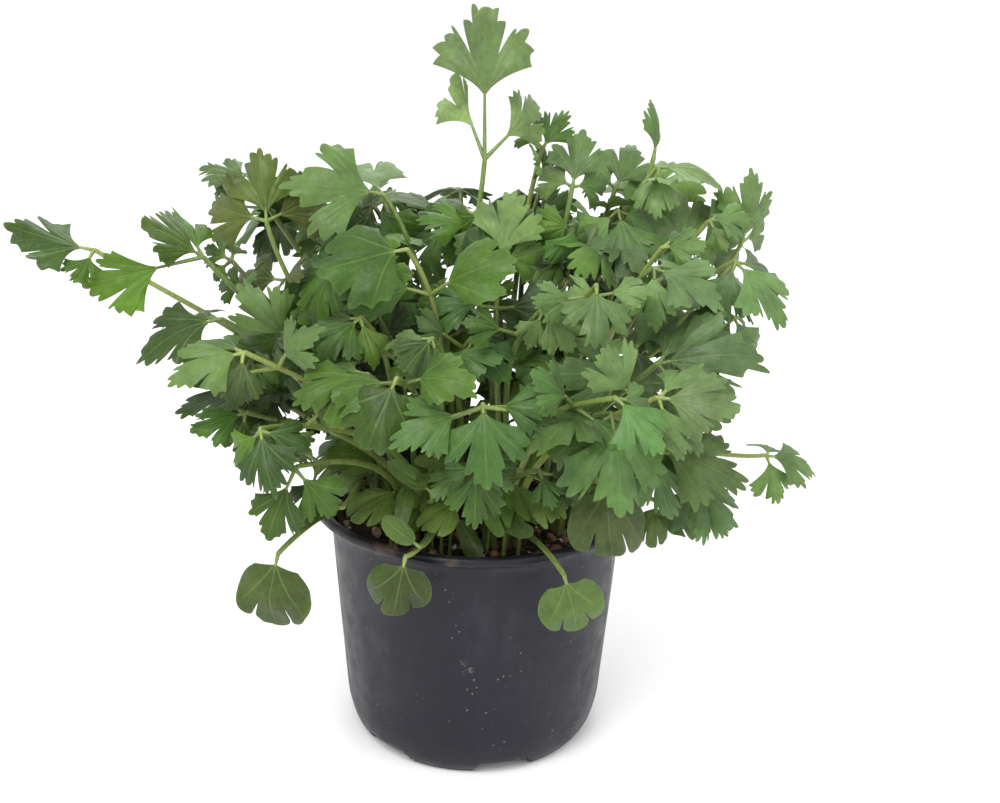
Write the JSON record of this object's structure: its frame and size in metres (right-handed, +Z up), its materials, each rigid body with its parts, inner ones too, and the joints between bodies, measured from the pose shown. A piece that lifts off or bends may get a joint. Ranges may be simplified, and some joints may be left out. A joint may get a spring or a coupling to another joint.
{
  "type": "potted parsley",
  "caption": "Flat-leaf parsley growing in a round plastic nursery pot: long-stalked, lobed leaves that rise from the potting soil and lean out on all sides",
  "frame": {"origin": "centre of the pot's underside, on the surface it stands on", "axes": "+Z up along the pot's axis; -Y is the fuller side of the plant, which faces the viewer; +X is that viewer's right"},
  "size_m": [0.3008, 0.2112, 0.2832],
  "materials": {
    "pot_plastic": "satin moulded polypropylene, charcoal with a bluish tone",
    "potting_soil": "crumbly dark peat and bark, matt",
    "leaf": "soft green leaf with a slight sheen",
    "young_leaf": "lighter yellow-green young leaf"
  },
  "bodies": {
    "root": {"pot": "pot_plastic", "soil": "potting_soil", "young_hang_left": "young_leaf", "young_hang_right": "young_leaf", "young_olive_left": "young_leaf", "young_oval_left": "young_leaf", "young_rim_left": "young_leaf", "young_rim_right": "young_leaf", "young_rim_round": "young_leaf", "young_seed_leaf": "young_leaf", "young_thin_right": "young_leaf", "frond_arched": "leaf", "frond_big_right": "leaf", "frond_centre": "leaf", "frond_centre_up": "leaf", "frond_curly": "leaf", "frond_face": "leaf", "frond_far_left": "leaf", "frond_left_a": "leaf", "frond_left_b": "leaf", "frond_left_c": "leaf", "frond_left_d": "leaf", "frond_left_e": "leaf", "frond_left_f": "leaf", "frond_left_second": "leaf", "frond_low_centre": "leaf", "frond_mid_right": "leaf", "frond_olive": "leaf", "frond_right_low": "leaf", "frond_right_pale": "leaf", "frond_right_reach": "leaf", "frond_right_small": "leaf", "frond_right_under": "leaf", "frond_right_w": "leaf", "frond_right_x": "leaf", "frond_right_y": "leaf", "frond_round": "leaf", "frond_round_front": "leaf", "frond_top": "leaf", "frond_upper_left": "leaf", "frond_upper_left_back": "leaf", "fronds_front": "leaf", "fronds_left_inner": "leaf", "fronds_mid_centre": "leaf", "fronds_mid_left": "leaf", "fronds_pale": "leaf", "fronds_right_back": "leaf", "fronds_right_top": "leaf", "fronds_small_top": "leaf", "crown_back": "leaf", "crown_back_left": "leaf", "crown_back_right": "leaf", "crown_centre_left": "leaf", "crown_centre_right": "leaf", "crown_left": "leaf", "crown_middle_left": "leaf", "crown_middle_right": "leaf", "crown_right": "leaf", "crown_side_left": "leaf"}
  },
  "joints": []
}
